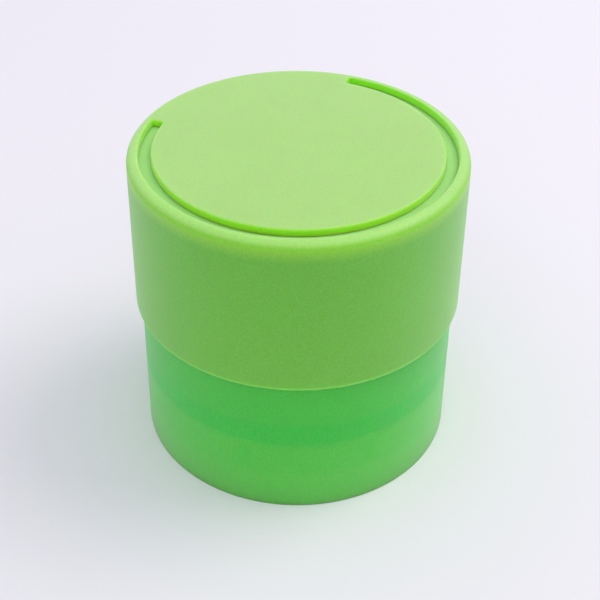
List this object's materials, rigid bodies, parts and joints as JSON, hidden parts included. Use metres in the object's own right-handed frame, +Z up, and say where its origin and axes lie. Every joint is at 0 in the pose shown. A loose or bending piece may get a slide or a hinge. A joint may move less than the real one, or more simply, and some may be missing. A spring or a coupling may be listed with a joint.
{
  "type": "contact lens case",
  "caption": "Round stacked contact lens case: a translucent base and an opaque cap with a C-shaped slot in its top, holding two screw-together lens wells.",
  "frame": {"origin": "centre of the base's flat underside", "axes": "+Z up along the case's axis, towards the cap; the bridge that joins the slotted disc to the rim lies towards +Y and -X"},
  "size_m": [0.035, 0.035, 0.034],
  "materials": {
    "cap_plastic": "opaque lime plastic with a fine matte moulded grain",
    "clear_green_plastic": "cloudy translucent green plastic, smooth and matte",
    "seal_rubber": "soft pale silicone rubber"
  },
  "bodies": {
    "base": {"base_shell": "clear_green_plastic", "lower_well": "clear_green_plastic"},
    "lower_ring": {"well_seal": "seal_rubber"},
    "upper_cup": {"upper_well": "clear_green_plastic"},
    "upper_ring": {"cap_seal": "seal_rubber"},
    "cap": {"cap_shell": "cap_plastic", "inner_cap": "clear_green_plastic"}
  },
  "joints": [
    {"name": "well_rise", "type": "slide", "parent": "base", "child": "lower_ring", "axis": [0, 0, 1], "range_m": [0, 0.0181]},
    {"name": "well_turn", "type": "hinge", "parent": "lower_ring", "child": "upper_cup", "pos_m": [0, 0, 0.0195], "axis": [0, 0, 1], "range_deg": [0, 720]},
    {"name": "cap_rise", "type": "slide", "parent": "upper_cup", "child": "upper_ring", "axis": [0, 0, 1], "range_m": [0, 0.0226]},
    {"name": "cap_turn", "type": "hinge", "parent": "upper_ring", "child": "cap", "pos_m": [0, 0, 0.031], "axis": [0, 0, 1], "range_deg": [0, 900]}
  ],
  "couplings": [
    {"joint": "well_rise", "follows": "well_turn", "m_per_rad": 0.0014324},
    {"joint": "cap_rise", "follows": "cap_turn", "m_per_rad": 0.0014324}
  ]
}
